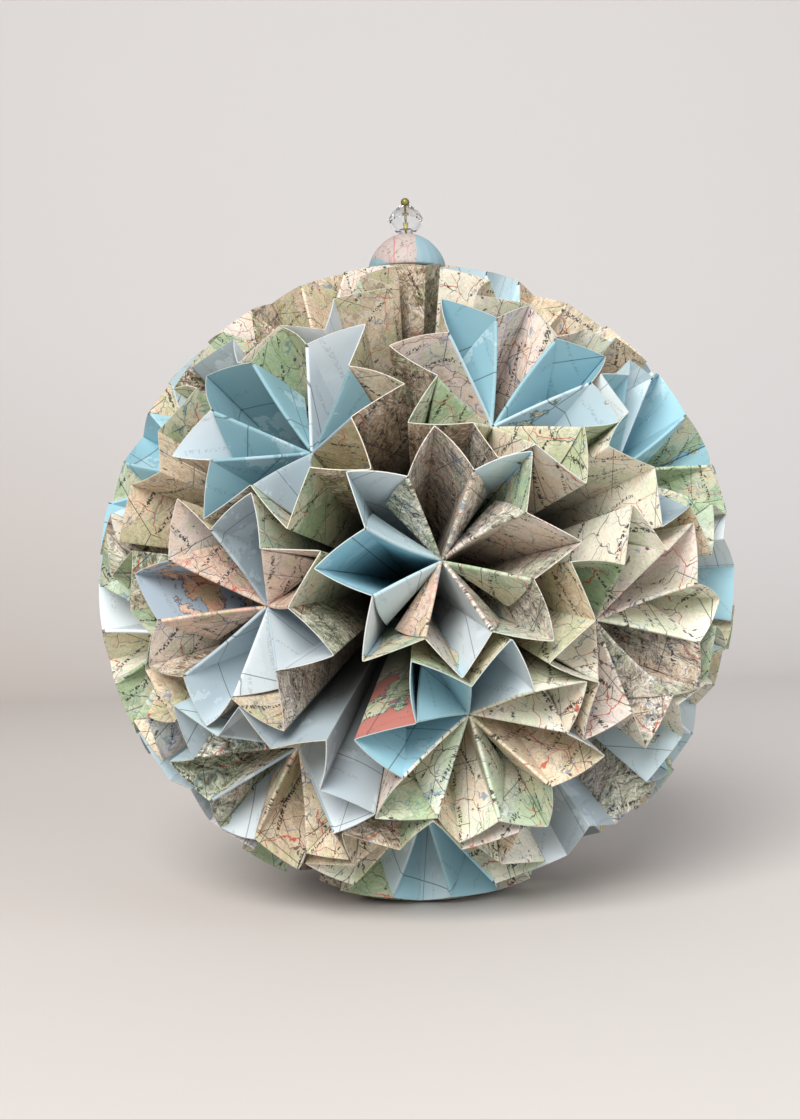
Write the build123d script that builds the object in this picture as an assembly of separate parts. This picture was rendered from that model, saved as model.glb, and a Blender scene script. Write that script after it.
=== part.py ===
from build123d import *
import math
import os

# Kusudama ball of folded map paper, topped by a paper-covered cap, a glass bead and a head pin.
# Every rosette is one round sheet. Its centre is drawn in to the ball's middle, and the sheet is
# creased into eight pockets: from the middle, two walls fan out to each pocket's tip, and the
# doubled paper between two pockets makes a partition that runs in to the rosette's own axis.
# The partitions' tops are folded over, as flaps, into every second pocket.
# Frame: millimetres, +Z up, front is -Y. The origin lies below the ball's middle, at the level
# of the notch corners on which the ball stands.

# The round sheets
SHEET_RADIUS = 115.0
PAPER = 0.3
PETALS = 8
CREASE_POINT = 89.6
CORE_SEAT = 16.0

# Angles of a rosette in degrees, seen from the ball's middle
NOTCH_SPREAD = 12.9
TIP_SPREAD = 20.2
TIP_CLEARANCE_ANGLE = 0.6
TIP_STEP_ANGLE = 0.25
FLAP_ANGLE = 25.0
FLAP_CLEARANCE = 0.4

# Cap, bead and pin on top
CAP_RADIUS = 14.3
CAP_HEIGHT = 13.5
CAP_EDGE = 4.0
CAP_CROWN_RADIUS = 2.5
CAP_BANDS = 5
CAP_GORES = 24
BEAD_RADIUS = 6.5
BEAD_TABLE_RADIUS = 2.8
BEAD_HEIGHT = 10.6
BEAD_GIRDLE = 1.6
BEAD_SIDES = 8
PIN_RADIUS = 0.4
PIN_CLEARANCE = 0.1
PIN_DEPTH = 30.0
PIN_HEAD_RADIUS = 1.6
PIN_HEAD_BANDS = 4
SEAT_GAP = 0.1

# Where the rosettes sit: name, degrees to the right of the front, degrees above the level, and
# turn of the first tip clockwise from the upright. The far half repeats them through the middle.
ROSETTES = [
    ("centre", 5, 4, -4),
    ("upper_left", -24, 28, 31),
    ("upper_right", 20, 33, 24),
    ("left", -32, -4, 19),
    ("lower", 11, -28, 8),
    ("right", 40, -9, 33),
    ("right_shoulder", 55, 23, 41),
    ("lower_left", -34, -36, 12),
    ("crown", 0, 90, 36),
    ("underside", 0, -59, 4),
    ("left_shoulder", -68, 26, 16),
    ("left_side", -64, -10, 36),
    ("left_hip", -79, -43, 30),
    ("top_left", -42, 58, 34),
    ("right_hip", 67, -57, 26),
    ("right_side", 72, -25, 6),
    ("far_right", 84, 6, 0),
    ("top_right", 53, 57, 3),
]
UNFOLDED = "crown"

STEP = 360.0 / PETALS
HALF = STEP / 2
MIDDLE = Vector(0, 0, SHEET_RADIUS * math.cos(math.radians(NOTCH_SPREAD)))
CAP_BASE = SHEET_RADIUS + SEAT_GAP
FROM_BELOW = (Align.CENTER, Align.CENTER, Align.MIN)


def turned(angle):
    """Cosine and sine of an angle in degrees."""
    return math.cos(math.radians(angle)), math.sin(math.radians(angle))


class Rosette:
    """Place of one rosette: its axis from the ball's middle, and the turn of its first tip."""

    def __init__(self, name, azimuth, elevation, turn):
        self.name = name
        self.turn = turn
        cos_e, sin_e = turned(elevation)
        cos_a, sin_a = turned(azimuth)
        self.axis = Vector(cos_e * sin_a, -cos_e * cos_a, sin_e)
        upright = Vector(0, 1, 0) if abs(self.axis.Z) > 0.999 else Vector(0, 0, 1)
        self.up = (upright - self.axis * upright.dot(self.axis)).normalized()
        self.right = self.up.cross(self.axis)

    def ray(self, spread, bearing):
        """Unit direction at an angle from the axis, at a bearing clockwise from the upright."""
        cos_s, sin_s = turned(spread)
        cos_b, sin_b = turned(bearing)
        return self.axis * cos_s + (self.up * cos_b + self.right * sin_b) * sin_s

    def outline(self, direction):
        """Angle from the axis to the star's edge, towards a direction."""
        bearing = math.degrees(math.atan2(direction.dot(self.right), direction.dot(self.up)))
        from_tip = (bearing - self.turn) % STEP
        past_tip = min(from_tip, STEP - from_tip)
        notch = math.tan(math.radians(NOTCH_SPREAD))
        tip = math.tan(math.radians(TIP_SPREAD))
        share = notch * turned(HALF - past_tip)[1] + tip * turned(past_tip)[1]
        return math.degrees(math.atan(notch * tip * turned(HALF)[1] / share))

    def tip_spread(self, bearing, others):
        """Angle from the axis to a tip, drawn in until it clears the other rosettes."""
        spread = TIP_SPREAD
        while spread > NOTCH_SPREAD and self.is_crowded(self.ray(spread, bearing), others):
            spread -= TIP_STEP_ANGLE
        return spread

    def is_crowded(self, direction, others):
        for other in others:
            away = direction.get_angle(other.axis)
            if away < other.outline(direction) + TIP_CLEARANCE_ANGLE:
                return True
        return False


def meet(first, second, third):
    """Point where three planes meet, each given as its unit normal and its distance."""
    (n1, d1), (n2, d2), (n3, d3) = first, second, third
    across = n2.cross(n3)
    return (across * d1 + n3.cross(n1) * d2 + n1.cross(n2) * d3) * (1 / n1.dot(across))


def face(*points):
    """Flat face through points that lie in one plane."""
    return Face(Wire.make_polygon([point + MIDDLE for point in points]))


def two_faces(a, b, c, d):
    """Two triangles across a four-sided patch that may be slightly twisted."""
    return [face(a, b, c), face(a, c, d)]


class Pocket:
    """One petal's pocket: the four inner creases, each parallel to the paper's outer crease."""

    def __init__(self, rosette, number, tips):
        bearing = rosette.turn + number * STEP
        self.axis = rosette.axis
        self.tip = rosette.ray(tips[number], bearing)
        self.notches = [rosette.ray(NOTCH_SPREAD, bearing + side * HALF) for side in (-1, 1)]
        self.walls = []
        self.partitions = []
        for side, notch in zip((-1, 1), self.notches):
            self.walls.append(notch.cross(self.tip).normalized() * side)
            self.partitions.append(notch.cross(self.axis).normalized() * -side)
        self.walls = [self.facing(wall) for wall in self.walls]
        self.partitions = [self.facing(partition) for partition in self.partitions]
        lies = (self.tip, 0)
        self.tip_shift = meet((self.walls[0], PAPER), (self.walls[1], PAPER), lies)
        self.notch_shifts = [
            meet((wall, PAPER), (partition, PAPER), (notch, 0))
            for wall, partition, notch in zip(self.walls, self.partitions, self.notches)
        ]
        left, right = self.partitions
        self.axis_shift = meet((left, PAPER), (right, PAPER), (self.axis, 0))

    def facing(self, normal):
        """The normal, pointing into the pocket."""
        inside = self.axis + self.tip
        return normal if normal.dot(inside) > 0 else normal * -1

    def at_seat(self, shift, direction):
        """Where a crease meets the flat seat on the core."""
        return shift + direction * ((CORE_SEAT - shift.dot(self.axis)) / direction.dot(self.axis))


def ridge_height(pocket, side, crease_point):
    """Top of the pocket's axis crease, on the line from the crease point to the notch corner."""
    corner = pocket.notches[side] * SHEET_RADIUS
    out = corner - pocket.axis * corner.dot(pocket.axis)
    rise = (corner.dot(pocket.axis) - crease_point) / out.length
    height = crease_point + rise * pocket.axis_shift.dot(out.normalized())
    return pocket.axis_shift + pocket.axis * height


def flap(pocket, side, inner, corner):
    """Faces of one folded flap, and the lower ends of its hinge."""
    notch = pocket.notches[side]
    along = (corner - inner).normalized()
    down = (pocket.axis * -1) - along * (pocket.axis * -1).dot(along)
    down = down.normalized()
    out = pocket.partitions[side]
    cos_f, sin_f = turned(FLAP_ANGLE)
    free_edge = SHEET_RADIUS - CREASE_POINT
    foot = inner + along * (free_edge * pocket.axis.dot(along))
    depth = free_edge * -pocket.axis.dot(down)
    thickness = 2 * PAPER
    root = thickness / sin_f
    under = out * cos_f - down * sin_f
    reach = down * cos_f + out * sin_f
    # The free corner is kept off the pocket's outer wall
    wall = pocket.walls[side]
    room = (foot - under * thickness).dot(wall) - PAPER - FLAP_CLEARANCE
    loss = -reach.dot(wall) * depth
    share = 1.0 if loss <= room else room / loss
    point = foot + reach * (depth * share)
    point_below = point - under * thickness
    hinge_inner = inner - pocket.axis * (root / (pocket.axis * -1).dot(down))
    hinge_corner = corner - notch * (root / (notch * -1).dot(down))
    faces = [face(inner, corner, point), face(hinge_inner, hinge_corner, point_below)]
    faces += two_faces(inner, point, point_below, hinge_inner)
    faces += two_faces(corner, point, point_below, hinge_corner)
    return faces, hinge_inner, hinge_corner


def sheet(rosette, tips, folded):
    """One round sheet folded into a rosette, as a closed thin-walled solid."""
    crease_point = CREASE_POINT if folded else SHEET_RADIUS
    pockets = [Pocket(rosette, number, tips) for number in range(PETALS)]
    faces = []
    outer_seat = []
    pocket_seats = []
    crown = []
    for number, pocket in enumerate(pockets):
        tip_top = pocket.tip * SHEET_RADIUS
        tip_seat = pocket.at_seat(Vector(0, 0, 0), pocket.tip)
        tip_inner = pocket.tip_shift + tip_top
        tip_inner_seat = pocket.at_seat(pocket.tip_shift, pocket.tip)
        axis_seat = pocket.at_seat(pocket.axis_shift, pocket.axis)
        inner = ridge_height(pocket, 0, crease_point)
        crown.append(inner)
        low_inner = inner
        seat = [axis_seat]
        for side in (0, 1):
            notch = pocket.notches[side]
            shift = pocket.notch_shifts[side]
            corner = notch * SHEET_RADIUS
            corner_seat = pocket.at_seat(Vector(0, 0, 0), notch)
            corner_inner = shift + corner
            corner_inner_seat = pocket.at_seat(shift, notch)
            faces.append(face(tip_seat, corner_seat, corner, tip_top))
            faces += two_faces(tip_top, corner, corner_inner, tip_inner)
            low_corner = corner_inner
            wall = [tip_inner_seat, corner_inner_seat, corner_inner, tip_inner]
            if folded and number % 2:
                flap_faces, low_inner, low_corner = flap(pocket, side, inner, corner_inner)
                faces += flap_faces
                wall.insert(2, low_corner)
            faces.append(face(*wall))
            faces.append(face(axis_seat, corner_inner_seat, low_corner, low_inner))
            seat.insert(0 if side else 1, corner_inner_seat)
        pocket_seats.append([axis_seat, seat[-1], tip_inner_seat, seat[0]])
        outer_seat += [pocket.at_seat(Vector(0, 0, 0), pocket.notches[0]), tip_seat]
    for number, pocket in enumerate(pockets):
        following = (number + 1) % PETALS
        corner = pocket.notches[1] * SHEET_RADIUS
        here = pocket.notch_shifts[1] + corner
        there = pockets[following].notch_shifts[0] + corner
        faces.append(face(corner, here, there))
        faces += two_faces(here, there, crown[following], crown[number])
    faces.append(face(*crown))
    holes = [Wire.make_polygon([point + MIDDLE for point in hole]) for hole in pocket_seats]
    faces.append(Face(Wire.make_polygon([point + MIDDLE for point in outer_seat]), holes))
    return Solid(Shell(faces))


def all_rosettes():
    near = [Rosette(*place) for place in ROSETTES]
    far = []
    for name, azimuth, elevation, turn in ROSETTES:
        far.append(Rosette(name + "_opposite", azimuth + 180, -elevation, -turn))
    return near + far


def neighbours(rosette, rosettes):
    """The rosettes close enough for two outlines to touch."""
    reach = 2 * TIP_SPREAD + 2 * TIP_CLEARANCE_ANGLE
    others = [other for other in rosettes if other is not rosette]
    return [other for other in others if rosette.axis.get_angle(other.axis) < reach]


def core(rosettes):
    """The glued lump in the middle, with one flat seat for each sheet's gathered centre."""
    lump = Solid.make_sphere(CORE_SEAT * 2).moved(Location(MIDDLE))
    for rosette in rosettes:
        seat = Plane(origin=MIDDLE + rosette.axis * CORE_SEAT, z_dir=rosette.axis)
        lump = split(lump, bisect_by=seat, keep=Keep.BOTTOM)
    return lump


def rounded(across, upward, first, last, bands):
    """Points along an upright ellipse between two angles in degrees, as radius and height."""
    angles = [first + (last - first) * band / bands for band in range(bands + 1)]
    return [(across * turned(angle)[0], upward * turned(angle)[1]) for angle in angles]


def cap():
    """Dome of stiff paper pleated into gores, with a hole for the pin."""
    dome = rounded(CAP_RADIUS - CAP_CROWN_RADIUS, CAP_HEIGHT - CAP_EDGE, 0, 90, CAP_BANDS)
    levels = [(CAP_RADIUS, 0)]
    levels += [(CAP_CROWN_RADIUS + across, CAP_EDGE + upward) for across, upward in dome]
    rings = []
    for radius, height in levels:
        pleats = [turned(360.0 * gore / CAP_GORES) for gore in range(CAP_GORES)]
        rings.append([Vector(radius * c, radius * s, CAP_BASE + height) for c, s in pleats])
    faces = [face(*rings[0]), face(*rings[-1])]
    for lower, upper in zip(rings, rings[1:]):
        for gore in range(CAP_GORES):
            faces.append(face(lower[gore - 1], lower[gore], upper[gore], upper[gore - 1]))
    bore = Cylinder(PIN_RADIUS + PIN_CLEARANCE, CAP_HEIGHT * 3)
    return Solid(Shell(faces)) - Location(MIDDLE + Vector(0, 0, CAP_BASE)) * bore


def bead():
    """Faceted glass bead: two cut cones on a narrow girdle, drilled through."""
    cone = (BEAD_HEIGHT - BEAD_GIRDLE) / 2
    flat = math.cos(math.pi / BEAD_SIDES)
    lean = math.degrees(math.atan((BEAD_RADIUS - BEAD_TABLE_RADIUS) * flat / cone))
    girdle = RegularPolygon(BEAD_RADIUS, BEAD_SIDES)
    upper = extrude(Pos(0, 0, BEAD_GIRDLE / 2) * girdle, cone, taper=lean)
    upper += extrude(girdle, BEAD_GIRDLE / 2)
    lower = mirror(upper, Plane.XY)
    bore = Cylinder(PIN_RADIUS + PIN_CLEARANCE, BEAD_HEIGHT * 3)
    middle = MIDDLE + Vector(0, 0, CAP_BASE + CAP_HEIGHT + SEAT_GAP + BEAD_HEIGHT / 2)
    return Location(middle) * (upper + lower - bore)


def pin():
    """Brass head pin through the bead and the cap, down into the crown rosette."""
    top = CAP_BASE + CAP_HEIGHT + SEAT_GAP + BEAD_HEIGHT
    bottom = SHEET_RADIUS - PIN_DEPTH
    head_height = top + math.sqrt(PIN_HEAD_RADIUS**2 - (PIN_RADIUS + PIN_CLEARANCE) ** 2)
    shaft = Pos(0, 0, bottom) * Cylinder(PIN_RADIUS, head_height - bottom, align=FROM_BELOW)
    ball = rounded(PIN_HEAD_RADIUS, PIN_HEAD_RADIUS, -90, 90, PIN_HEAD_BANDS)
    head = revolve(Plane.XZ * make_face(Polyline(*ball, close=True)), Axis.Z)
    return Location(MIDDLE) * (shaft + Pos(0, 0, head_height) * head)


def pin_bore():
    """Hole that the pin leaves in the crown rosette."""
    end = MIDDLE + Vector(0, 0, SHEET_RADIUS - PIN_DEPTH - PIN_CLEARANCE)
    hole = Cylinder(PIN_RADIUS + PIN_CLEARANCE, PIN_DEPTH * 2, align=FROM_BELOW)
    return Location(end) * hole


def main():
    os.makedirs("parts", exist_ok=True)
    rosettes = all_rosettes()
    for rosette in rosettes:
        others = neighbours(rosette, rosettes)
        tips = [rosette.tip_spread(rosette.turn + number * STEP, others) for number in range(PETALS)]
        solid = sheet(rosette, tips, rosette.name != UNFOLDED)
        if rosette.name == UNFOLDED:
            solid = solid - pin_bore()
        export_step(solid, f"parts/rosette_{rosette.name}.step")
    export_step(core(rosettes), "parts/core.step")
    export_step(cap(), "parts/cap.step")
    export_step(bead(), "parts/bead.step")
    export_step(pin(), "parts/pin.step")


main()
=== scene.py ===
"""Looks of a kusudama ball: 36 star rosettes, each folded from one round sheet of printed map
paper, with a paper cap, a cut glass bead and a head pin on top. Lengths are in metres and angles in
degrees. Places on the print are in centimetres."""

import bpy
import numpy as np
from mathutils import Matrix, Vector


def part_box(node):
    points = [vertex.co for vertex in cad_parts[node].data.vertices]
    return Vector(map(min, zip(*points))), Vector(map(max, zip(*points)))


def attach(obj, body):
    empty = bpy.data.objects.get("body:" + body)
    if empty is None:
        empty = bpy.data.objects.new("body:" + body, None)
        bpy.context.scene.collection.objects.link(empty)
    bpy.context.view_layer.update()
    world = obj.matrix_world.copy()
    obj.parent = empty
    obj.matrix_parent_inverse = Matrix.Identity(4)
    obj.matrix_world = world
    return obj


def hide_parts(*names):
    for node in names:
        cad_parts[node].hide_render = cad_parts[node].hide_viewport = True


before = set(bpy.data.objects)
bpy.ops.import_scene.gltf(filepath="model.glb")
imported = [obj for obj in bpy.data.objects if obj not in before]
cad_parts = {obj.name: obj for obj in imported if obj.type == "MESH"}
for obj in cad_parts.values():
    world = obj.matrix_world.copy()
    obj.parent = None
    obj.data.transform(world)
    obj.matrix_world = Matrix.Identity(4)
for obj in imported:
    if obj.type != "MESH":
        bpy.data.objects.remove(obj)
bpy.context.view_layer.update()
rng = np.random.default_rng(36)

# The ball and its sheets
MIDDLE = np.array((0.0, 0.0, 0.1121))
SHEET = 0.115  # radius of a flat sheet, and of the ball
PAPER = 0.0003  # thickness of one layer
ROLL = 2 * PAPER  # radius of the fold between a partition and its flap
HUB = 0.0155  # radius at which the gathered middles of the sheets begin
CREASE_POINT = 0.0896  # from the ball's middle to where a rosette's ridges meet
NOTCH = 12.9  # from a rosette's axis to the notches of its rim
TIP = 20.2  # from a rosette's axis to a tip that has room
FLAP_ANGLE = 25.0  # between a flap and its partition
PETALS = 8
STEP = 360 / PETALS
HALF = STEP / 2
# Painted shade: the paper is darkened towards the ball's middle, deeper in the folds where shadow
# falls
POCKET_SHADE = 0.22  # how much the inside of a pocket darkens with depth
CLEFT_SHADE = 1.0  # and how much the clefts between rosettes do
BACK_SHIFT = 37  # centimetres from the print on a sheet's front to that on its back

# A partition lies in the plane of the axis and a notch. Flat places on it are the distance from the
# axis and the distance along it. Its ridge runs from the crease point to the notch.
NOTCH_LINE = np.array((np.sin(np.radians(NOTCH)), np.cos(np.radians(NOTCH))))
RIDGE_FOOT = np.array((0.0, CREASE_POINT))
RIDGE_LENGTH = np.linalg.norm(NOTCH_LINE * SHEET - RIDGE_FOOT)
ALONG = (NOTCH_LINE * SHEET - RIDGE_FOOT) / RIDGE_LENGTH
ABOVE = np.array((-ALONG[1], ALONG[0]))
AXIS_GAP = PAPER / np.tan(np.radians(HALF))  # from the axis to where two partitions' papers meet
RIDGE_START = (AXIS_GAP + ABOVE[0] * ROLL) / ALONG[0]

# Points across and along each patch of paper
WALL_GRID = 29, 13
PARTITION_GRID = 13, 10
PLAIN_GRID = 13, 14
FOLD_ROWS = 6
FLAP_ROWS = 11

# Papers of the print by letter: red, green and blue as seen, the share of water, and how hilly the
# land is
PRINT = {
    "s": (0.61, 0.78, 0.83, 1, 0.0),  # strong blue sea
    "u": (0.53, 0.68, 0.72, 1, 0.0),  # deep blue sea
    "b": (0.76, 0.85, 0.88, 1, 0.0),  # pale blue sea
    "w": (0.87, 0.91, 0.93, 1, 0.0),  # nearly white sea
    "y": (0.68, 0.74, 0.77, 1, 0.0),  # grey sea
    "e": (0.78, 0.86, 0.89, 0.66, 0.2),  # sea with islands
    "m": (0.68, 0.74, 0.79, 0.52, 0.3),  # grey sea with brick red land
    "f": (0.76, 0.49, 0.45, 0.50, 0.3),  # red region beside a green one
    "g": (0.68, 0.76, 0.62, 0, 0.3),  # green lowland
    "p": (0.79, 0.84, 0.76, 0, 0.2),  # pale green
    "l": (0.83, 0.83, 0.68, 0, 0.2),  # lime
    "c": (0.93, 0.91, 0.84, 0, 0.1),  # cream
    "t": (0.86, 0.77, 0.64, 0, 0.4),  # tan
    "r": (0.70, 0.59, 0.48, 0, 0.9),  # brown hills
    "k": (0.92, 0.85, 0.82, 0, 0.2),  # pink
    "o": (0.88, 0.70, 0.62, 0, 0.4),  # salmon
    "v": (0.80, 0.78, 0.82, 0, 0.4),  # violet
    "d": (0.64, 0.67, 0.58, 0, 1.0),  # dark green mountains
    "n": (0.76, 0.71, 0.67, 0, 0.9),  # grey mountains
}
# The water in land papers and the land in sea papers. Two papers have a land of their own.
LAKE = (0.66, 0.80, 0.86)
ISLAND = (0.88, 0.87, 0.74)
OTHER_LAND = {"m": (0.88, 0.67, 0.56), "f": (0.68, 0.76, 0.62)}

# Rosettes: name, degrees right of the front, degrees up and turn of the first tip. Then the papers
# of the two halves of each petal, clockwise from the first tip, of the two flaps in each second
# petal, and of the outside of each petal. The far half mirrors their places through the middle.
ROSETTES = [
    ("centre", 5, 4, -4, "nn bg kn np wk gw ss bw", "nn gn ob bd", "rrrccclr"),
    ("upper_left", -24, 28, 31, "ww tc tl gp uu ww uu gl", "uy yy uu uw", "trrgnrgt"),
    ("upper_right", 20, 33, 24, "vk ss eb lb ct gg vk ss", "sb ll cg bs", "ccgcnrrt"),
    ("left", -32, -4, 19, "yy kp yw nt wy rk mm kv", "ko yw yo oy", "ppdnrtnt"),
    ("lower", 11, -28, 8, "sw cc kt gp ct gp ss ss", "cc tp pc ss", "lcwwgkfg"),
    ("right", 40, -9, 33, "kk cc nn nc kn cc gg cc", "kc nn cg gk", "cgcctltc"),
    ("right_shoulder", 55, 23, 41, "ss gs gg pg ys gs ss bb", "sg gg ss sb", "tgptccwb"),
    ("lower_left", -34, -36, 12, "yt pw yw tt kt wd dd yy", "ty yt ty db", "yyytkdbb"),
    ("crown", 0, 90, 36, "nr tk bc tc rn nr tt cb", "rt bc nr tb", "tccrcrtc"),
    ("underside", 0, -59, 4, "gp kt cp ss bs gl cc tt", "pc ss bl tg", "gkcbbltr"),
    ("left_shoulder", -68, 26, 16, "bb lc gl bc ss pg ss tc", "bg lb ss st", "rgtttgcr"),
    ("left_side", -64, -10, 36, "gl gn tt vt gg cl wp gb", "lt tg gw pg", "dgtvgcbn"),
    ("left_hip", -79, -43, 30, "yy gc tt bb cc gg kk bb", "yt tc ck ky", "byvgtcgb"),
    ("top_left", -42, 58, 34, "kp tc wr vw lg ck rt tr", "pw rl gr tk", "ttwcygtr"),
    ("right_hip", 67, -57, 26, "cc kt yg kt gg cy yn bc", "cy gg gy nc", "bccrcwyn"),
    ("right_side", 72, -25, 6, "bg tt cw bb gs yt cc gp", "gc wg sc cb", "tcgbeecg"),
    ("far_right", 84, 6, 0, "gs gl gt sy cc tt gg bb", "sg tc cg gg", "llpbsswp"),
    ("top_right", 53, 57, 3, "bb tt tn tk bk cc ct cb", "bt nb kc tb", "tcttckcc"),
]
UNFOLDED = "crown"  # the rosette under the cap, whose partitions have no flaps


def unit(v):
    """Vectors divided by their own lengths."""
    return v / np.linalg.norm(v, axis=-1, keepdims=True)


def angle_between(a, b):
    """Angle between unit vectors: the inverse cosine of their product."""
    return np.degrees(np.arccos(np.clip(np.sum(a * b, axis=-1), -1, 1)))


def mitre(a, b):
    """The vector that reaches one paper thickness along each of two unit normals."""
    return (a + b) / (1 + a @ b) * PAPER


def smooth(x):
    """Rises from 0 to 1 and is level at both ends: three squares less two cubes."""
    x = np.clip(x, 0, 1)
    return x * x * (3 - 2 * x)


def linear(colour):
    """The colour as light, from the colour as seen."""
    c = np.asarray(colour, float)
    return np.where(c < 0.04045, c / 12.92, ((c + 0.055) / 1.055) ** 2.4)


def twice(layers):
    """The values along one edge, for both edges of a narrow strip."""
    return {name: np.stack((value, value)) for name, value in layers.items()}


def new_object(name, data):
    """An object at the origin, in the scene."""
    obj = bpy.data.objects.new(name, data)
    bpy.context.scene.collection.objects.link(obj)
    return obj


class Skin:
    """Surface patches for one mesh. Each is a grid of points, with the same grid of values for
    every layer of the print, wear and painted shade."""

    def __init__(self):
        self.count = 0
        self.points = []
        self.quads = []
        self.layers = {}

    def add(self, points, facing, **layers):
        """Adds a patch, turned so that its faces look towards the given direction."""
        rows, columns = points.shape[:2]
        index = np.arange(rows * columns).reshape(rows, columns)
        quads = (index[:-1, :-1], index[1:, :-1], index[1:, 1:], index[:-1, 1:])
        quads = np.stack(quads, axis=-1).reshape(-1, 4)
        flat = points.reshape(-1, 3)
        corner = flat[quads]
        normal = np.cross(corner[:, 2] - corner[:, 0], corner[:, 3] - corner[:, 1]).sum(axis=0)
        if normal @ facing < 0:
            quads = quads[:, ::-1]
        self.points.append(flat)
        self.quads.append(quads + self.count)
        for name, values in layers.items():
            values = np.broadcast_to(values, (rows, columns, np.shape(values)[-1]))
            self.layers.setdefault(name, []).append(values.reshape(rows * columns, -1))
        self.count += rows * columns

    def build(self, name):
        """The mesh object, with the place on the print as its UV map and the other layers as
        attributes of its points."""
        mesh = bpy.data.meshes.new(name)
        quads = np.concatenate(self.quads)
        mesh.from_pydata(np.concatenate(self.points), [], quads)
        mesh.polygons.foreach_set("use_smooth", np.ones(len(quads), bool))
        corners = np.empty(len(mesh.loops), np.int32)
        mesh.loops.foreach_get("vertex_index", corners)
        for layer, values in self.layers.items():
            values = np.concatenate(values).astype(np.float32)
            if layer == "print":
                mesh.uv_layers.new(name=layer).data.foreach_set("uv", values[corners].ravel())
                continue
            kind, field = ("VECTOR", "vector") if layer == "wear" else ("COLOR", "color")
            attribute = mesh.attributes.new(layer, "FLOAT_" + kind, "POINT")
            attribute.data.foreach_set(field, values.ravel())
        mesh.update()
        return new_object(name, mesh)


def print_table(letters):
    """Two tables with a row for each letter: land colour with the share of water, and water colour
    with the hilliness. Each paper is a little lighter or darker than its neighbours, and land is
    a little greyer than its letter says."""
    land = []
    water = []
    for letter in letters.replace(" ", ""):
        *colour, wet, hills = PRINT[letter]
        tone = rng.uniform(0.90, 1.01)
        grey = np.mean(colour)
        own = linear((grey + (np.array(colour) - grey) * (1.0 if wet else 0.9)) * tone)
        land.append([*(linear(OTHER_LAND.get(letter, ISLAND)) if wet else own), wet])
        water.append([*(own if wet else linear(LAKE)), hills])
    return np.array(land), np.array(water)


def print_at(tables, theta):
    """The tables' values at an angle round the sheet: those of the half petal there, turning
    smoothly into its neighbour's near where the two meet."""
    place = (theta + HALF) / HALF
    half = np.floor(place).astype(int)
    share = place - half
    blend = 0.16
    after = 0.5 * smooth((share - 1 + blend) / blend)[..., None]
    before = 0.5 * smooth((blend - share) / blend)[..., None]
    count = 2 * PETALS
    return [
        table[half % count] * (1 - after - before)
        + table[(half + 1) % count] * after
        + table[(half - 1) % count] * before
        for table in tables
    ]


def crease_distance(flat):
    """From flat places on a partition to the axis, or to the notch's line where that is nearer."""
    x, z = flat[..., 0], flat[..., 1]
    return np.minimum(x, np.abs(NOTCH_LINE[0] * z - NOTCH_LINE[1] * x))


def on_sheet(flat, pocket, side):
    """Radius and angle on the flat sheet of flat places on a partition. The sheet's middle is the
    ball's middle, so the radius stays what it was, and the angle counts back from the partition's
    crease on the axis."""
    spread = np.degrees(np.arctan2(flat[..., 0], flat[..., 1]))
    return np.linalg.norm(flat, axis=-1), STEP * pocket + side * (HALF - spread)


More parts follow.
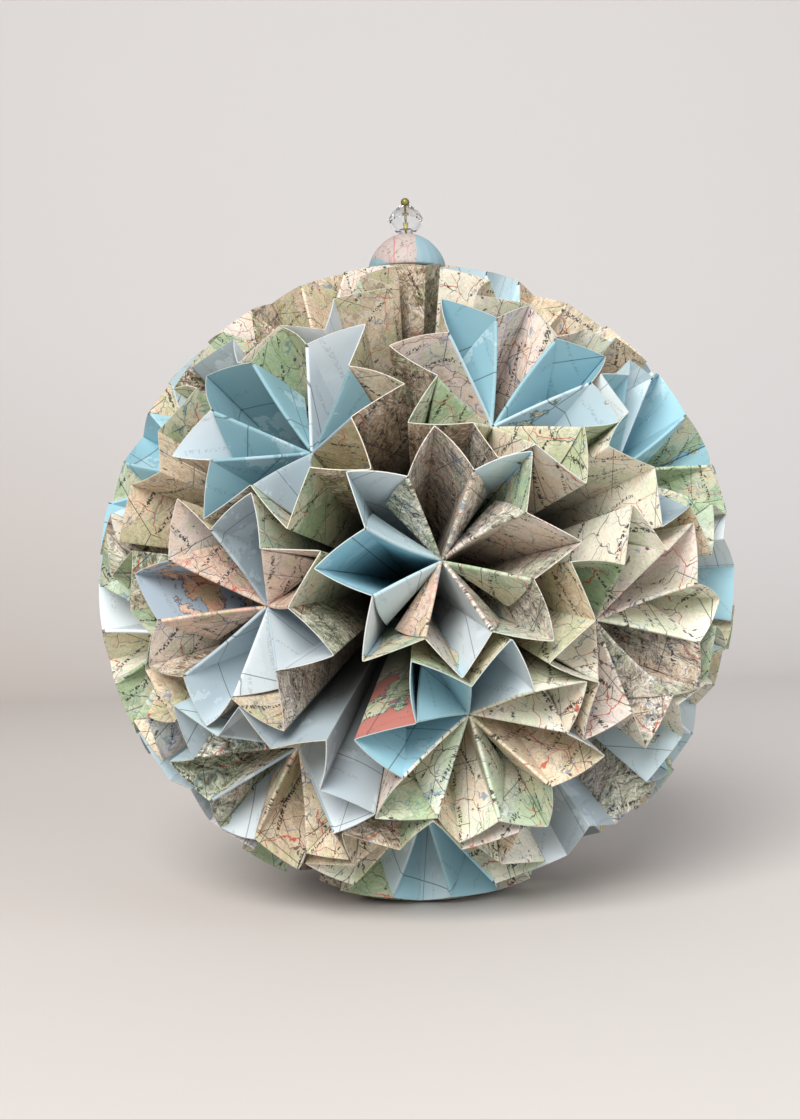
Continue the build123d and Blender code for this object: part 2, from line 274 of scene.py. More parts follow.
class Rosette:
    """One folded sheet: its axis from the ball's middle, its tips and notches, and its papers.
    Pocket k lies between the notches before and after tip k, clockwise. A side of a pocket is 1
    for the clockwise one and -1 for the other."""

    def __init__(self, name, azimuth, elevation, turn, letters, flaps, behind):
        self.name = name
        self.folded = name != UNFOLDED
        a, e = np.radians((azimuth, elevation))
        self.axis = np.array((np.cos(e) * np.sin(a), -np.cos(e) * np.cos(a), np.sin(e)))
        upright = np.array((0.0, 1.0, 0.0) if abs(self.axis[2]) > 0.999 else (0.0, 0.0, 1.0))
        self.up = unit(upright - self.axis * (upright @ self.axis))
        self.right = np.cross(self.up, self.axis)
        self.turn = turn
        self.find_tips()
        self.notches = [self.ray(NOTCH, turn + STEP * k + HALF) for k in range(PETALS)]
        self.front = print_table(letters)
        self.flaps = print_table(flaps)
        self.back = print_table("".join(letter * 2 for letter in behind))
        # Where on its map the sheet was cut, and how large the map is drawn
        self.offset = rng.uniform(-400, 400, 2)
        self.scale = 100 * rng.uniform(0.75, 1.3)
        self.skin = Skin()

    def around(self, bearing):
        """Direction square to the axis, at a bearing clockwise from the upright."""
        b = np.radians(bearing)
        return self.up * np.cos(b) + self.right * np.sin(b)

    def ray(self, spread, bearing):
        """Direction from the ball's middle, spread from the axis towards a bearing."""
        s = np.radians(spread)
        return self.axis * np.cos(s) + self.around(bearing) * np.sin(s)

    def find_tips(self):
        """Directions of the tips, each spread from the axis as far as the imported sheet's rim is
        near its bearing."""
        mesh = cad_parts["rosette_" + self.name].data
        v = np.empty(3 * len(mesh.vertices), np.float32)
        mesh.vertices.foreach_get("co", v)
        v = v.reshape(-1, 3) - MIDDLE
        rim = unit(v[np.linalg.norm(v, axis=1) > 0.99 * SHEET])
        bearing = np.degrees(np.arctan2(rim @ self.right, rim @ self.up))
        self.tips = []
        for k in range(PETALS):
            wanted = self.turn + STEP * k
            near = np.abs((bearing - wanted + 180) % 360 - 180) < 3
            self.tips.append(self.ray(angle_between(rim[near], self.axis).max(), wanted))

    def layers(self, r, theta, rim, crease, back=False, flap=None):
        """Layers at a radius and an angle on the flat sheet: the place on the print, the papers
        there, and, for wear and painted shade, the distances from the cut rim and from the nearest
        crease, in centimetres, with the share of painted shade that the depth in the fold gets,
        where shadow falls there. The back of the sheet has a mirrored print of its own."""
        t = np.radians(theta)
        place = np.stack((r * np.cos(t), r * np.sin(t)), axis=-1) * self.scale + self.offset
        if back:
            place = place * (-1, 1) + BACK_SHIFT
        land, water = print_at(self.back if back else self.front, theta)
        if flap is not None:
            shape = np.shape(theta) + (4,)
            land, water = [np.broadcast_to(table[flap], shape) for table in self.flaps]
        # Painted shade: a share that grows towards the ball's middle, for darkening the paper where
        # shadow falls in the folds
        depth_shade = (1 - r / SHEET) * (CLEFT_SHADE if back else POCKET_SHADE)
        wear = np.stack(np.broadcast_arrays(rim * 100, crease * 100, depth_shade), axis=-1)
        return {"print": place, "land": land, "water": water, "wear": wear}

    def inward(self, k, side):
        """Normals, into pocket k, of its wall and of its partition on one side."""
        notch = self.notches[k if side > 0 else k - 1]
        inside = self.axis + self.tips[k]
        normals = unit(np.cross(notch, self.tips[k])), unit(np.cross(notch, self.axis))
        return [normal * np.sign(normal @ inside) for normal in normals]

    def notch_shift(self, k, side):
        """From a notch's line on the outer paper to that on the paper of one side of pocket k."""
        return mitre(*self.inward(k, side))

    def walls(self, k):
        """Both walls of a pocket as one sheet. Straight lines run from the ball's middle to a curve
        through notch, tip and notch, with the round top of a hyperbola at the tip. Each wall bows
        outwards as half a sine wave across it, more so towards the rim and where the tip has
        room."""
        tip = self.tips[k]
        left, right = self.notches[k - 1], self.notches[k]
        columns, rows = WALL_GRID
        t = np.linspace(-1, 1, columns)
        s = (np.sign(t) * np.abs(t) ** 1.5)[None, :]
        r = HUB + (SHEET - HUB) * np.linspace(0, 1, rows)[:, None]
        soft = rng.uniform(0.004, 0.04)  # how round the tip is
        f = (np.sqrt(s**2 + soft**2) - soft) / (np.sqrt(1 + soft**2) - soft)
        middle, spread = (left + right) / 2, (right - left) / 2
        line = unit(tip * (1 - f)[..., None] + middle * f[..., None] + spread * s[..., None])
        outward = -np.where(s[..., None] < 0, self.inward(k, -1)[0], self.inward(k, 1)[0])
        free = smooth((angle_between(tip, self.axis) - NOTCH) / (TIP - NOTCH))
        bow = rng.uniform(-0.0001, 0.0010, 2) * (0.4 + 0.6 * free)
        bow = np.where(s < 0, bow[0], bow[1]) * np.sin(np.pi * np.abs(s)) * (r / SHEET) ** 1.5
        outer = line * r[..., None] + outward * bow[..., None]
        normal = unit(np.cross(np.gradient(outer, axis=1), np.gradient(outer, axis=0)))
        normal = normal * np.sign(np.sum(normal * (self.axis - tip)))
        thick = normal * PAPER
        thick[:, 0] = self.notch_shift(k, -1)
        thick[:, -1] = self.notch_shift(k, 1)
        inner = outer + thick
        run = np.cumsum(np.append(0, angle_between(line[0, 1:], line[0, :-1])))
        theta = STEP * k + (run / run[-1] * 2 - 1) * (HALF - NOTCH)
        r, theta = np.broadcast_arrays(r, theta[None, :])
        turn = np.radians(np.abs(theta - STEP * k))
        crease = r * np.minimum(turn, np.radians(HALF - NOTCH) - turn)
        facing = normal.mean(axis=(0, 1))
        front = self.layers(r, theta, SHEET - r, crease)
        behind = self.layers(r, theta, SHEET - r, crease, back=True)
        edge = self.layers(r[-1], theta[-1], 0.0, 0.0)
        self.skin.add(MIDDLE + inner, facing, **front)
        self.skin.add(MIDDLE + outer, -facing, **behind)
        self.skin.add(MIDDLE + np.stack((outer[-1], inner[-1])), tip, **twice(edge))

    def partition(self, k):
        """The doubled paper between pocket k and the next: straight lines from the hub to the
        ridge in two parallel planes, which lean a little to one side half way along the ridge. Its
        top is folded into the odd pocket of the two."""
        following = (k + 1) % PETALS
        bearing = self.turn + STEP * k + HALF
        plane = np.stack((self.around(bearing), self.axis))
        clockwise = self.around(bearing + 90)
        if not self.folded:
            self.plain_partition(k, plane, clockwise)
            return
        even = k % 2 == 0
        plain, flapped = (k, following) if even else (following, k)
        towards = clockwise if even else -clockwise
        sway = rng.normal(0, 0.0005)
        columns, rows = PARTITION_GRID
        u = np.linspace(0, 1, columns)
        t = np.linspace(0, 1, rows)[:, None, None]
        stops = {}
        for pocket, side in ((k, 1), (following, -1)):
            shift = plane @ self.notch_shift(pocket, side)
            lines = np.stack((ALONG, -NOTCH_LINE), axis=1)
            stop, _ = np.linalg.solve(lines, shift - RIDGE_FOOT + ABOVE * ROLL)
            stops[pocket] = stop
            a = RIDGE_START + (stop - RIDGE_START) * u
            ridge = RIDGE_FOOT + a[:, None] * ALONG - ABOVE * ROLL
            low = np.outer(1 - u, (AXIS_GAP, HUB)) + np.outer(u, NOTCH_LINE * HUB + shift)
            flat = low * (1 - t) + ridge * t
            sign = -1 if pocket == plain else 1
            lean = sway * np.sin(np.pi * u) * t[..., 0] ** 2
            solid = flat @ plane + towards * (sign * PAPER + lean)[..., None]
            r, theta = on_sheet(flat, pocket, side)
            crease = crease_distance(flat)
            if pocket == plain:
                crease = np.minimum(crease, np.abs((flat - RIDGE_FOOT) @ ABOVE) + ROLL)
            self.skin.add(MIDDLE + solid, towards * sign, **self.layers(r, theta, 1.0, crease))
        self.flap(k, plain, flapped, plane, towards, stops[plain], sway)

    def flap(self, k, plain, flapped, plane, towards, stop, sway):
        """The partition's top: rolled over its ridge in an arc, then down into the odd pocket as a
        flap with a slight curl, as far as the pocket's wall leaves room. On the flat sheet, a runs
        along the ridge and b away from it. The flap lies between the ridge, the crease on the axis,
        where a is first, and the sheet's round edge, where a is last."""
        side = 1 if plain == k else -1
        apex = (SHEET - CREASE_POINT) * np.array((ALONG[1], ABOVE[1]))
        centre = -CREASE_POINT * np.array((ALONG[1], ABOVE[1]))
        lean = np.radians(FLAP_ANGLE + rng.uniform(-5, 2))
        above, along = ABOVE @ plane, ALONG @ plane
        normal = towards * np.cos(lean) + above * np.sin(lean)
        reach = towards * np.sin(lean) - above * np.cos(lean)
        wall, _ = self.inward(flapped, -side)
        clear = 5 * PAPER
        room = (RIDGE_FOOT + ALONG * apex[0]) @ plane @ wall - clear
        loss = -(reach @ wall) * apex[1]
        share = 1.0 if loss <= room else room / loss
        angle = np.linspace(0, np.pi - lean, FOLD_ROWS)[:, None, None]
        t = np.linspace(0, 1, FLAP_ROWS)
        b = t * apex[1]
        before_apex, least_width = 0.0002, 0.0003
        first = RIDGE_START + (apex[0] - before_apex - RIDGE_START) * t
        arc = centre[0] + np.sqrt(SHEET**2 - (b - centre[1]) ** 2)
        last = np.maximum(arc + (stop - RIDGE_LENGTH) * (1 - t), first + least_width)
        u = np.linspace(0, 1, PARTITION_GRID[0])
        ridge = np.tile(RIDGE_START + (stop - RIDGE_START) * u, (FOLD_ROWS, 1))
        a = np.concatenate((ridge, np.outer(first[1:], 1 - u) + np.outer(last[1:], u)))
        b_flat = np.concatenate((np.linspace(-ROLL, 0, FOLD_ROWS), b[1:]))[:, None] + 0 * a
        down = b[1:] * share
        curl = rng.uniform(-0.8, 1.6) * down**2
        swing = np.sin(np.pi * np.clip((a - RIDGE_START) / (stop - RIDGE_START), 0, 1)) * sway
        hinge = (RIDGE_FOOT + a[..., None] * ALONG - ABOVE * ROLL) @ plane
        hinge = hinge + towards * (PAPER + swing)[..., None]
        fold, free = hinge[:FOLD_ROWS], hinge[FOLD_ROWS:]
        over = ROLL * (-np.cos(angle) * towards + np.sin(angle) * above)
        drop = np.outer(down, reach)[:, None] + np.outer(curl, normal)[:, None]
        outer = np.concatenate((fold + over, free + normal * ROLL + drop))
        inner = np.concatenate((fold, free + drop))
        flat = RIDGE_FOOT + a[..., None] * ALONG + b_flat[..., None] * ABOVE
        r, theta = on_sheet(flat, plain, side)
        crease = np.minimum(np.abs(b_flat), flat[..., 0])
        layers = self.layers(r, theta, SHEET - r, crease, flap=k)
        self.skin.add(MIDDLE + outer, normal + above, **layers)
        under = slice(FOLD_ROWS - 1, None)
        other = on_sheet(flat[under], flapped, -side)
        below = self.layers(*other, SHEET - r[under], crease[under])
        self.skin.add(MIDDLE + inner[under], -normal, **below)
        for column, rim, facing in ((0, 1.0, -along), (-1, 0.0, along)):
            edge = self.layers(r[:, column], theta[:, column], rim, 0.0, flap=k)
            strip = np.stack((outer[:, column], inner[:, column]))
            self.skin.add(MIDDLE + strip, facing, **twice(edge))
        edge = {name: value[-1] for name, value in layers.items()}
        self.skin.add(MIDDLE + np.stack((outer[-1], inner[-1])), reach, **twice(edge))

    def plain_partition(self, k, plane, clockwise):
        """A partition without a flap: straight lines from the hub to the sheet's round edge, in
        two parallel planes."""
        columns, rows = PLAIN_GRID
        u = np.linspace(0, 1, columns)
        spread = np.radians(NOTCH) * u
        straight = np.stack((np.sin(spread), np.cos(spread)), axis=-1)
        r = HUB + (SHEET - HUB) * np.linspace(0, 1, rows)[:, None]
        top = []
        for pocket, side in ((k, 1), ((k + 1) % PETALS, -1)):
            shift = plane @ self.notch_shift(pocket, side)
            flat = r[..., None] * straight + np.outer(1 - u, (AXIS_GAP, 0)) + np.outer(u, shift)
            solid = flat @ plane - clockwise * side * PAPER
            radius, theta = on_sheet(flat, pocket, side)
            layers = self.layers(radius, theta, SHEET - r, crease_distance(flat))
            self.skin.add(MIDDLE + solid, -clockwise * side, **layers)
            top.append(solid[-1])
            edge = self.layers(radius[-1], theta[-1], 0.0, 0.0)
        self.skin.add(MIDDLE + np.stack(top), self.axis, **twice(edge))

    def ends(self):
        """Small star of paper where the eight partitions meet on the axis, just below the rolled
        ridges and a little raised in its middle, and the end of the paper between wall and
        partition at each notch."""
        ring = [mitre(self.inward(k, -1)[1], self.inward(k, 1)[1]) for k in range(PETALS)]
        height = CREASE_POINT - 1.5 * PAPER if self.folded else SHEET
        ring = np.array(ring + ring[:1]) + self.axis * height
        raised = 0.0002
        centre = np.broadcast_to(self.axis * (height + raised), ring.shape)
        theta = np.arange(PETALS + 1) * STEP
        star = self.layers(height + 0 * theta, theta, 1.0, 0.0)
        self.skin.add(MIDDLE + np.stack((centre, ring)), self.axis, **twice(star))
        for k in range(PETALS):
            corner = self.notches[k] * SHEET
            here = corner + self.notch_shift(k, 1)
            there = corner + self.notch_shift((k + 1) % PETALS, -1)
            grid = np.stack((np.stack((corner, corner)), np.stack((here, there))))
            theta = np.full((2, 2), STEP * k + HALF - NOTCH)
            values = self.layers(SHEET + 0 * theta, theta, 0.0, 0.0)
            self.skin.add(MIDDLE + grid, self.notches[k], **values)

    def build(self):
        """The whole folded sheet as one object."""
        for k in range(PETALS):
            self.walls(k)
            self.partition(k)
        self.ends()
        return self.skin.build("map_" + self.name)


class Socket:
    """An output of a shader node, or a plain number, that Python's own sums can be written with."""

    def __init__(self, tree, value):
        self.tree = tree
        self.value = value

    def sum(self, operation, *others, clamp=False):
        """A Math node on this value and the others."""
        node = self.tree.nodes.new("ShaderNodeMath")
        node.operation = operation
        node.use_clamp = clamp
        for slot, item in zip(node.inputs, (self, *others)):
            plug(self.tree, slot, item)
        return Socket(self.tree, node.outputs[0])

    def __add__(self, other):
        return self.sum("ADD", other)

    __radd__ = __add__

    def __mul__(self, other):
        return self.sum("MULTIPLY", other)

    __rmul__ = __mul__

    def __sub__(self, other):
        return self.sum("SUBTRACT", other)

    def __rsub__(self, other):
        return Socket(self.tree, other).sum("SUBTRACT", self)

    def __abs__(self):
        return self.sum("ABSOLUTE")

    def or_more(self, other):
        """The larger of the two."""
        return self.sum("MAXIMUM", other)

    def above_zero(self):
        """The value where it is above zero, and at most one."""
        return self.sum("MAXIMUM", 0.0, clamp=True)

    def off_half(self):
        """How far the value's fraction is from a half, which draws lines one unit apart."""
        return abs(self.sum("FRACT") - 0.5)

    def between(self, low, high):
        """Smoothly from 0 at the low end to 1 at the high end; falls where low is the larger."""
        fall = low > high
        node = self.tree.nodes.new("ShaderNodeMapRange")
        node.interpolation_type = "SMOOTHSTEP"
        ends = {"From Min": min(low, high), "From Max": max(low, high)}
        ends.update({"To Min": 1.0 if fall else 0.0, "To Max": 0.0 if fall else 1.0})
        for name, item in {"Value": self, **ends}.items():
            plug(self.tree, node.inputs[name], item)
        return Socket(self.tree, node.outputs["Result"])


def plug(tree, slot, item):
    """Links a socket, or sets a plain value."""
    if isinstance(item, Socket):
        item = item.value
    if isinstance(item, bpy.types.NodeSocket):
        tree.links.new(item, slot)
    else:
        slot.default_value = item


class Material:
    """A material with a principled surface, and short ways to add nodes to it."""

    def __init__(self, name, **constants):
        self.material = bpy.data.materials.new(name)
        self.material.use_nodes = True
        self.tree = self.material.node_tree
        self.surface = self.tree.nodes["Principled BSDF"]
        for key, value in constants.items():
            self.surface.inputs[key.replace("_", " ")].default_value = value

    def node(self, kind, inputs=None, settings=None, output=0):
        """Adds a node: its settings first, then values or links for its inputs, which are given by
        name or number."""
        node = self.tree.nodes.new("ShaderNode" + kind)
        for key, value in (settings or {}).items():
            setattr(node, key, value)
        for key, item in (inputs or {}).items():
            plug(self.tree, node.inputs[key], item)
        return Socket(self.tree, node.outputs[output])

    def noise(self, place, scale, detail=2.0, roughness=0.5, output="Fac"):
        inputs = {"Vector": place, "Scale": scale, "Detail": detail, "Roughness": roughness}
        return self.node("TexNoise", inputs, output=output)

    def cells(self, place, scale, feature="DISTANCE_TO_EDGE"):
        """Distance from the edges between scattered cells, or from the cells' middles."""
        settings = {"feature": feature, "voronoi_dimensions": "2D"}
        return self.node("TexVoronoi", {"Vector": place, "Scale": scale}, settings, "Distance")

    def mix(self, share, a, b):
        """Colour a turned into colour b by a share. The node keeps its colours in inputs 6 and 7
        and in output 2."""
        a, b = [item if isinstance(item, Socket) else (*linear(item), 1.0) for item in (a, b)]
        return self.node("Mix", {0: share, 6: a, 7: b}, {"data_type": "RGBA"}, 2)

    def vector(self, operation, a, b):
        return self.node("VectorMath", {0: a, 1: b}, {"operation": operation})

    def attribute(self, name, output="Color"):
        return self.node("Attribute", None, {"attribute_name": name}, output)

    def object_place(self):
        return self.node("TexCoord", output="Object")

    def parts(self, vector):
        """The three numbers of a vector."""
        node = self.tree.nodes.new("ShaderNodeSeparateXYZ")
        plug(self.tree, node.inputs[0], vector)
        return [Socket(self.tree, output) for output in node.outputs]

    def finish(self, colour, roughness, height=None, distance=0.0001, strength=0.5):
        """Sends the colour, the roughness and the relief, if there is one, to the surface."""
        plug(self.tree, self.surface.inputs["Base Color"], colour)
        plug(self.tree, self.surface.inputs["Roughness"], roughness)
        if height is not None:
            relief = {"Height": height, "Strength": strength, "Distance": distance}
            plug(self.tree, self.surface.inputs["Normal"], self.node("Bump", relief))
        return self.material


# Inks of the print as seen
INK = {
    "lowland": (0.66, 0.80, 0.56),
    "upland": (0.97, 0.95, 0.86),
    "highland": (0.91, 0.74, 0.60),
    "shaded slope": (0.30, 0.26, 0.23),
    "lit slope": (0.99, 0.97, 0.92),
    "contour": (0.33, 0.27, 0.22),
    "deep water": (0.88, 0.93, 0.95),
    "shore": (0.22, 0.34, 0.44),
    "main road": (0.74, 0.28, 0.22),
    "road": (0.22, 0.17, 0.16),
    "border": (0.10, 0.09, 0.10),
    "river": (0.26, 0.46, 0.62),
    "graticule": (0.16, 0.23, 0.27),
    "town": (0.13, 0.10, 0.10),
    "mark": (0.12, 0.11, 0.11),
}


def ground_print(m, place, bent, land, hills):
    """Land: layer tints by height, relief shading from the change of a height over a short step,
    and contour lines at even heights."""
    relief = m.noise(bent, 1.3, 7.0, 0.62)
    step_away = m.noise(m.vector("ADD", bent, (0.04, 0.03, 0.0)), 1.3, 7.0, 0.62)
    slope = (relief - step_away) * (hills * hills * 12.0 + hills * 4.0 + 0.8)
    height = m.noise(place, 0.5, 5.0, 0.55)
    paper = m.mix(height.between(0.465, 0.455) * 0.25, land, INK["lowland"])
    paper = m.mix(height.between(0.50, 0.51) * 0.30, paper, INK["upland"])
    paper = m.mix(height.between(0.56, 0.57) * 0.25, paper, INK["highland"])
    paper = m.mix((0 - slope).above_zero() * 0.95, paper, INK["shaded slope"])
    paper = m.mix(slope.above_zero() * 0.8, paper, INK["lit slope"])
    contour = (relief * 14.0).off_half().between(0.12, 0.04) * (hills * 0.5 + 0.2)
    return m.mix(contour, paper, INK["contour"])


def road_print(m, place, bent, ground, colour):
    """Roads and borders along the edges of scattered cells, each kind in only part of the print:
    its ink, the cells to a centimetre, how far from the edges the line fades and is full, its
    strength and its places."""
    kinds = [
        ("main road", 0.50, 0.018, 0.011, 0.85, bent),
        ("road", 1.10, 0.015, 0.008, 0.80, bent),
        ("border", 0.35, 0.014, 0.008, 0.90, place),
    ]
    for number, (ink, scale, outer, inner, strength, where) in enumerate(kinds):
        shifted = m.vector("ADD", where, (31.0 * number, 17.0, 5.0))
        line = m.cells(shifted, scale).between(outer * scale, inner * scale)
        shown = m.noise(shifted, 0.4, 1.0).between(0.47, 0.50)
        colour = m.mix(line * shown * ground * strength, colour, INK[ink])
    return colour


def printed(m, place, land, water, wet, hills):
    """The map print on a place given in centimetres: land and water with a shore where the share
    of water and a noise come to a half, then roads, rivers, a graticule, towns and rows of small
    abstract marks."""
    warp = m.vector("SUBTRACT", m.noise(place, 0.9, 4.0, output="Color"), (0.5, 0.5, 0.5))
    bent = m.vector("ADD", place, m.vector("MULTIPLY", warp, (1.1, 1.1, 0.0)))
    level = wet + (m.noise(place, 0.42, 7.0, 0.62) - 0.5) * 2.0
    sea = level.between(0.49, 0.51)
    ground = 1 - sea
    ocean = m.mix(level.between(1.15, 1.17) * 0.3, water, INK["deep water"])
    colour = m.mix(sea, ground_print(m, place, bent, land, hills), ocean)
    colour = m.mix(abs(level - 0.5).between(0.020, 0.008) * 0.8, colour, INK["shore"])
    colour = road_print(m, place, bent, ground, colour)
    rivers = abs(m.noise(bent, 0.8, 3.0) - 0.5).between(0.006, 0.002)
    colour = m.mix(rivers * ground * 0.6, colour, INK["river"])
    x, y, _ = m.parts(place)
    across, along = x * 0.20 + y * 0.03, y * 0.20 - x * 0.03
    thin = 0.0045, 0.0025
    grid = across.off_half().between(*thin).or_more(along.off_half().between(*thin))
    colour = m.mix(grid * 0.65, colour, INK["graticule"])
    towns = m.cells(bent, 0.9, "F1").between(0.05, 0.035)
    colour = m.mix(towns * ground * 0.8, colour, INK["town"])
    row = (y * 1.1 + x * 0.15 + m.noise(place, 0.2) * 3.0).off_half().between(0.085, 0.06)
    stroke = m.noise(m.vector("MULTIPLY", place, (1.0, 0.55, 1.0)), 16.0, 1.0).between(0.49, 0.53)
    group = m.noise(m.vector("MULTIPLY", place, (0.7, 1.6, 1.0)), 0.9).between(0.46, 0.49)
    return m.mix(row * stroke * group * (0.2 + 0.7 * ground), colour, INK["mark"])


def map_paper():
    """Matte atlas paper: soiled in patches, with painted shade darkening it deep in the folds,
    rubbed pale along the creases, and bare along the cut edge, with paper fibres and soft waves as
    its relief."""
    m = Material("map_print")
    place = m.node("UVMap", None, {"uv_map": "print"})
    land, wet = m.attribute("land"), m.attribute("land", "Alpha")
    water, hills = m.attribute("water"), m.attribute("water", "Alpha")
    rim, crease, depth_shade = m.parts(m.attribute("wear", "Vector"))
    colour = printed(m, place, land, water, wet, hills)
    grime = m.noise(place, 0.25, 4.0)
    colour = m.mix(grime.between(0.5, 0.8) * 0.12, colour, (0.70, 0.62, 0.50))
    # Painted shade: the paper darkens towards the ball's middle, deep in the pockets and clefts
    # where shadow falls
    colour = m.mix(depth_shade.between(0.09, 0.45) * 0.85, colour, (0.24, 0.22, 0.20))
    rough = m.noise(place, 14.0, 2.0)
    worn = (crease + (rough - 0.5) * 0.03).between(0.008, 0.002) * 0.25
    colour = m.mix(worn, colour, (0.88, 0.87, 0.83))
    cut = (rim + (rough - 0.5) * 0.01).between(0.010, 0.003) * 0.45
    colour = m.mix(cut, colour, (0.69, 0.67, 0.62))
    fibres = m.noise(place, 60.0, 3.0, 0.7)
    waves = m.noise(place, 0.8, 2.0)
    roughness = 0.50 + 0.2 * fibres + 0.1 * worn
    return m.finish(colour, roughness, fibres * 0.3 + waves * 6.0, 0.0001, 0.45)


def cap_material():
    """Map paper, pink and cream with a red line in the middle, and blue on the right and low on the
    left."""
    m = Material("cap_print")
    place = m.object_place()
    x, _, z = m.parts(place)
    flat = m.vector("MULTIPLY", place, (100.0, 100.0, 100.0))
    edge = m.noise(place, 160.0, 3.0) - 0.5
    blue = (x + edge * 0.0012).between(0.0034, 0.0037)
    land = m.mix(edge.between(-0.1, 0.15), (0.70, 0.635, 0.62), (0.69, 0.655, 0.625))
    corner = ((0.2312 - z) * 1.6 - x + edge * 0.004).between(0.0120, 0.0124)
    wet = blue.or_more(corner)
    colour = m.mix(wet, land, (0.53, 0.635, 0.67))
    red = abs(x + 0.0044 + edge * 0.0016).between(0.0004, 0.0002)
    colour = m.mix(red * 0.65, colour, (0.72, 0.38, 0.38))
    thin = m.cells(flat, 1.6).between(0.03, 0.012) * (1 - wet) * 0.5
    colour = m.mix(thin, colour, (0.66, 0.42, 0.38))
    marks = m.noise(flat, 9.0, 1.0).between(0.62, 0.68) * (1 - wet) * 0.5
    colour = m.mix(marks, colour, (0.2, 0.18, 0.18))
    fibres = m.noise(flat, 60.0, 3.0, 0.7)
    return m.finish(colour, 0.5 + 0.2 * fibres, fibres, 0.00005, 0.4)


def glass():
    """Clear cut glass with faint smears."""
    m = Material("cut_glass", Transmission_Weight=1.0, IOR=1.36)
    smear = m.noise(m.object_place(), 300.0, 3.0)
    colour = m.mix(smear.between(0.3, 0.8), (0.99, 0.99, 1.0), (0.94, 0.96, 0.98))
    return m.finish(colour, smear.between(0.5, 0.9) * 0.06 + 0.01)


def brass():
    """Antique brass, olive where it has dulled and brighter where it is rubbed."""
    m = Material("antique_brass", Metallic=0.85)
    dull = m.noise(m.object_place(), 900.0, 4.0, 0.6)
    colour = m.mix(dull.between(0.35, 0.7), (0.42, 0.41, 0.22), (0.62, 0.58, 0.34))
    return m.finish(colour, 0.3 + 0.3 * dull, dull, 0.00002, 0.3)


def core_paper():
    """Brown glued paper in the middle."""
    m = Material("glued_paper")
    blot = m.noise(m.object_place(), 250.0, 5.0)
    colour = m.mix(blot, (0.50, 0.44, 0.35), (0.72, 0.66, 0.55))
    return m.finish(colour, 0.7 + 0.2 * blot, blot, 0.0003, 0.5)


def plaster():
    """Pale plaster, a little warmer and darker low down and to the left."""
    m = Material("pale_plaster")
    place = m.object_place()
    x, _, z = m.parts(place)
    tone = (z + x * 0.35 + m.noise(place, 1.2, 3.0) * 0.15).between(-0.25, 0.45)
    return m.finish(m.mix(tone, (0.825, 0.785, 0.755), (0.865, 0.855, 0.85)), 0.9)


def lathe(name, profile, count, wave=0.0):
    """Surface of revolution about the upright axis through pairs of radius and height, with a
    slight cosine wave in the radius, count times round. It is made of four quarters."""
    u = np.linspace(0, 2 * np.pi, count * 4 + 1)
    r, z = np.asarray(profile, float).T
    radius = np.outer(r, 1 - wave * (0.5 + 0.5 * np.cos(count * u)))
    grid = np.stack((radius * np.cos(u), radius * np.sin(u), z[:, None] + 0 * radius), axis=-1)
    skin = Skin()
    for quarter in range(4):
        first = quarter * count
        middle = u[first + count // 2]
        facing = np.array((np.cos(middle), np.sin(middle), 0.0))
        skin.add(grid[:, first:first + count + 1], facing)
    return skin.build(name)


def size_of(node):
    """Radius, lowest height and highest height of a node that stands on the upright axis."""
    low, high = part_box(node)
    return (high[0] - low[0]) / 2, low[2], high[2]


def cap():
    """Dome of paper in shallow gores: a quarter of an oval between a small flat top and a low
    upright edge."""
    radius, low, high = size_of("cap")
    turn = np.linspace(0, np.pi / 2, 24)
    crown, edge = 0.0023, 0.001
    power = 1.2  # at 1 the oval would be an ellipse, and above it the dome is slimmer
    side = np.stack((np.cos(turn) ** power, np.sin(turn) ** power), -1)
    side = side * (radius - crown, high - low - edge) + (crown, edge)
    profile = [(0.0006, 0.0), (radius * 0.5, 0.0), (radius * 0.985, 0.0), (radius, 0.0004)]
    profile += [*side, (0.0005, high - low - 0.0001)]
    return lathe("cap_cover", np.array(profile) + (0, low), 24, 0.012)


def bead():
    """Cut bead: rings of eight corners at a share of its radius and of its height, each ring turned
    by half a facet from the last, with flat triangles between them."""
    radius, low, high = size_of("bead")
    rings = np.array([
        (0.0005, 0.01), (0.40, 0.0), (0.80, 0.24), (1.0, 0.47),
        (1.0, 0.55), (0.78, 0.78), (0.40, 1.0), (0.0005, 0.99),
    ])
    count = 8
    row = np.arange(len(rings))[:, None]
    u = (np.arange(count) + 0.5 * (row % 2)) * 2 * np.pi / count
    r, z = rings[:, :1] * radius, low + rings[:, 1:] * (high - low) + 0 * u
    points = np.stack((r * np.cos(u), r * np.sin(u), z), axis=-1)
    here = np.arange(points[..., 0].size).reshape(-1, count)
    after = np.roll(here, -1, axis=1)
    a, b, c, d = here[:-1], after[:-1], here[1:], after[1:]
    even = np.stack((a, b, c, b, d, c), axis=-1)
    odd = np.stack((a, b, d, a, d, c), axis=-1)
    faces = np.where(row[:-1, :, None] % 2 == 0, even, odd)
    mesh = bpy.data.meshes.new("cut_bead")
    mesh.from_pydata(points.reshape(-1, 3), [], faces.reshape(-1, 3))
    mesh.update()
    return new_object("cut_bead", mesh)


def pin():
    """Head pin: a thin shank, a small flange and a ball for its head."""
    _, low, high = size_of("pin")
    head, shank = 0.0016, 0.0004
    centre = high - head
    profile = [(0.0001, low), (0.0003, low + 0.0002), (shank, low + 0.001)]
    profile += [(shank, z) for z in np.linspace(low + 0.004, centre - 0.0018, 12)]
    profile += [(shank, centre - 0.0016)]
    profile += [(head * 0.75, centre - 0.00155), (head * 0.78, centre - 0.0014)]
    ball = np.linspace(-1.15, np.pi / 2, 20)
    profile += [(max(head * np.cos(t), 0.00002), centre + head * np.sin(t)) for t in ball]
    return lathe("head_pin", profile, 8)


def place_piece(piece, node, material):
    """Puts a piece in the place of a node, on the ball's one body."""
    piece.data.materials.append(material)
    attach(piece, "root")
    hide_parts(node)


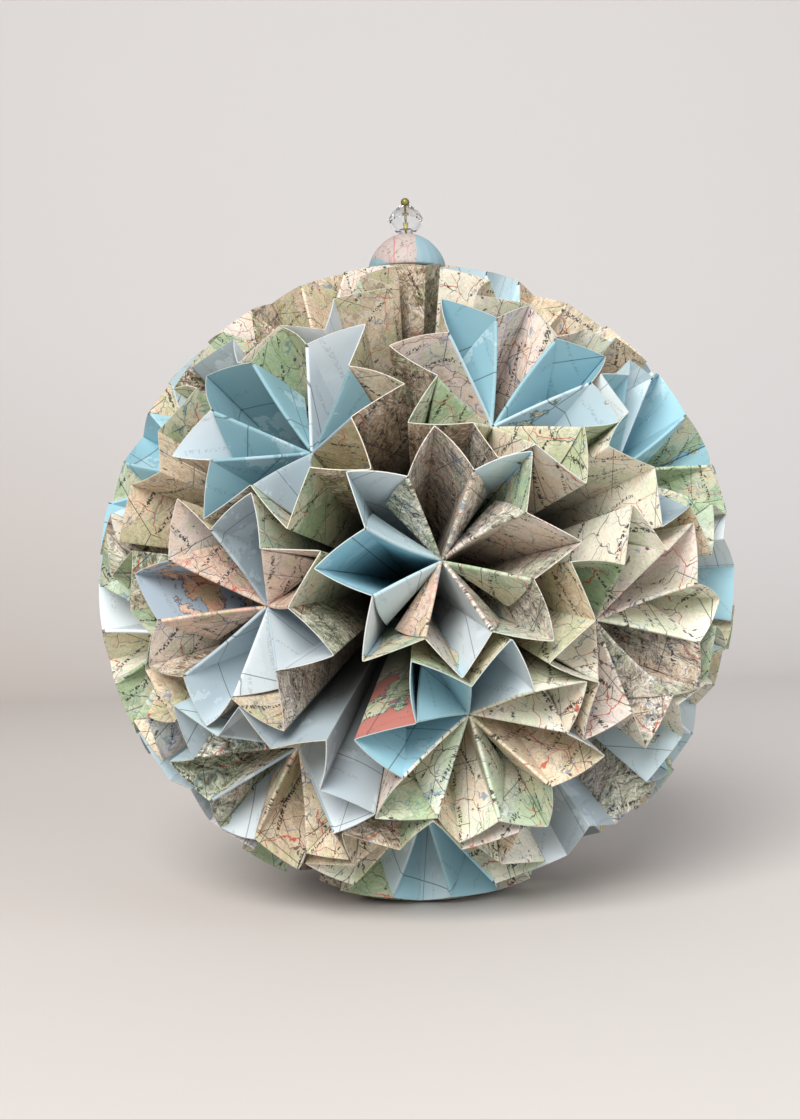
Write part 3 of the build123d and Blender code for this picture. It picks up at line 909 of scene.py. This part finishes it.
def studio():
    """Pale floor that curves up into a wall: two straight runs joined by a quarter circle."""
    bend = 0.5
    arc = np.linspace(0, np.pi / 2, 24)
    y = np.concatenate(([-3.0, 0.0], 0.9 + bend * np.sin(arc), [0.9 + bend]))
    z = np.concatenate(([0.0, 0.0], bend - bend * np.cos(arc), [3.2]))
    x = np.linspace(-3.5, 3.5, 3)
    grid = np.stack(np.broadcast_arrays(x[None, :], y[:, None], z[:, None]), axis=-1)
    skin = Skin()
    skin.add(grid, np.array((0.0, -1.0, 1.0)))
    floor = skin.build("studio_floor")
    floor.data.materials.append(plaster())


def light(name, place, size, power, colour):
    """A round soft lamp that faces the ball's middle, or nearly."""
    data = bpy.data.lights.new(name, "AREA")
    data.shape = "DISK"
    data.size = size
    data.energy = power
    data.color = colour
    lamp = new_object(name, data)
    lamp.location = place
    height = 0.12  # of the point it faces
    x, y, z = np.array(place) - (0, 0, height)
    lamp.rotation_euler = (np.arctan2(np.hypot(x, y), z), 0, np.arctan2(y, x) + np.pi / 2)


rosettes = [Rosette(*row) for row in ROSETTES]
for name, azimuth, elevation, turn, halves, flaps, behind in ROSETTES:
    halves = " ".join(rng.permutation(halves.split()))
    flaps = " ".join(rng.permutation(flaps.split()))
    papers = halves, flaps, behind[2:] + behind[:2]
    rosettes.append(Rosette(name + "_opposite", azimuth + 180, -elevation, -turn, *papers))
paper = map_paper()
for rosette in rosettes:
    place_piece(rosette.build(), "rosette_" + rosette.name, paper)

place_piece(cap(), "cap", cap_material())
place_piece(bead(), "bead", glass())
place_piece(pin(), "pin", brass())
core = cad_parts["core"]
core.data.materials.clear()
core.data.materials.append(core_paper())

studio()
light("window", (-0.5, -1.75, 1.3), 1.4, 64, (1.0, 0.985, 0.965))
light("fill", (1.6, -1.1, 0.7), 1.2, 13, (0.94, 0.97, 1.0))

world = bpy.data.worlds.new("room")
world.use_nodes = True
sky = world.node_tree.nodes["Background"]
sky.inputs["Color"].default_value = (0.93, 0.95, 1.0, 1.0)
sky.inputs["Strength"].default_value = 0.28
bpy.context.scene.world = world

# The camera stands level with the ball's middle, as far off as the photograph's, and is rolled by
# the angle at which the ball leans there
lens = bpy.data.cameras.new("camera")
lens.lens = 43.5
lens.sensor_width = 36
lens.shift_x = -0.0152
lens.shift_y = 0.0201
camera = new_object("camera", lens)
camera.location = (0, -4.36 * SHEET, MIDDLE[2])
camera.rotation_euler = (np.pi / 2, np.radians(1.8), 0)
bpy.context.scene.camera = camera
bpy.context.scene.view_settings.view_transform = "Standard"
